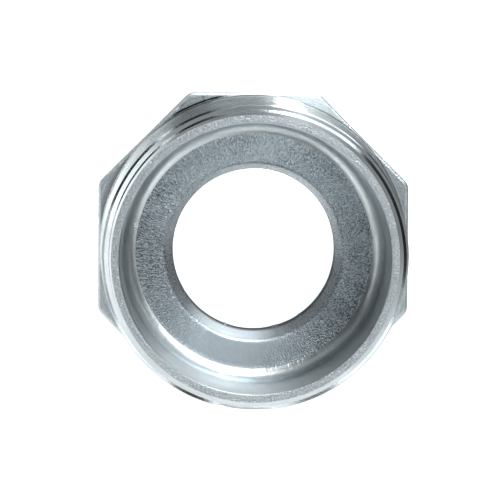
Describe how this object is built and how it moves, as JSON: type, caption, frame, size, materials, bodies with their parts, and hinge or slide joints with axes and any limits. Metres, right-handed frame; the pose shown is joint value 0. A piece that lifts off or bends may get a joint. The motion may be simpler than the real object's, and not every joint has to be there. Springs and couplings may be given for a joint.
{
  "type": "octagon-head pipe reducing bushing",
  "caption": "Zinc-coated cast pipe bushing with an octagonal head, a hollow tapered male threaded end and a smaller threaded bore through the head.",
  "frame": {"origin": "centre of the head's end face, which it stands on", "axes": "+Z along the bore from the head's end face to the hollow male end; the head's flats face +X, +Y and between"},
  "size_m": [0.061, 0.061, 0.038],
  "materials": {
    "zinc_casting": "zinc-coated, rough cast with machined threads"
  },
  "bodies": {
    "root": {"bushing_body": "zinc_casting"}
  },
  "joints": []
}
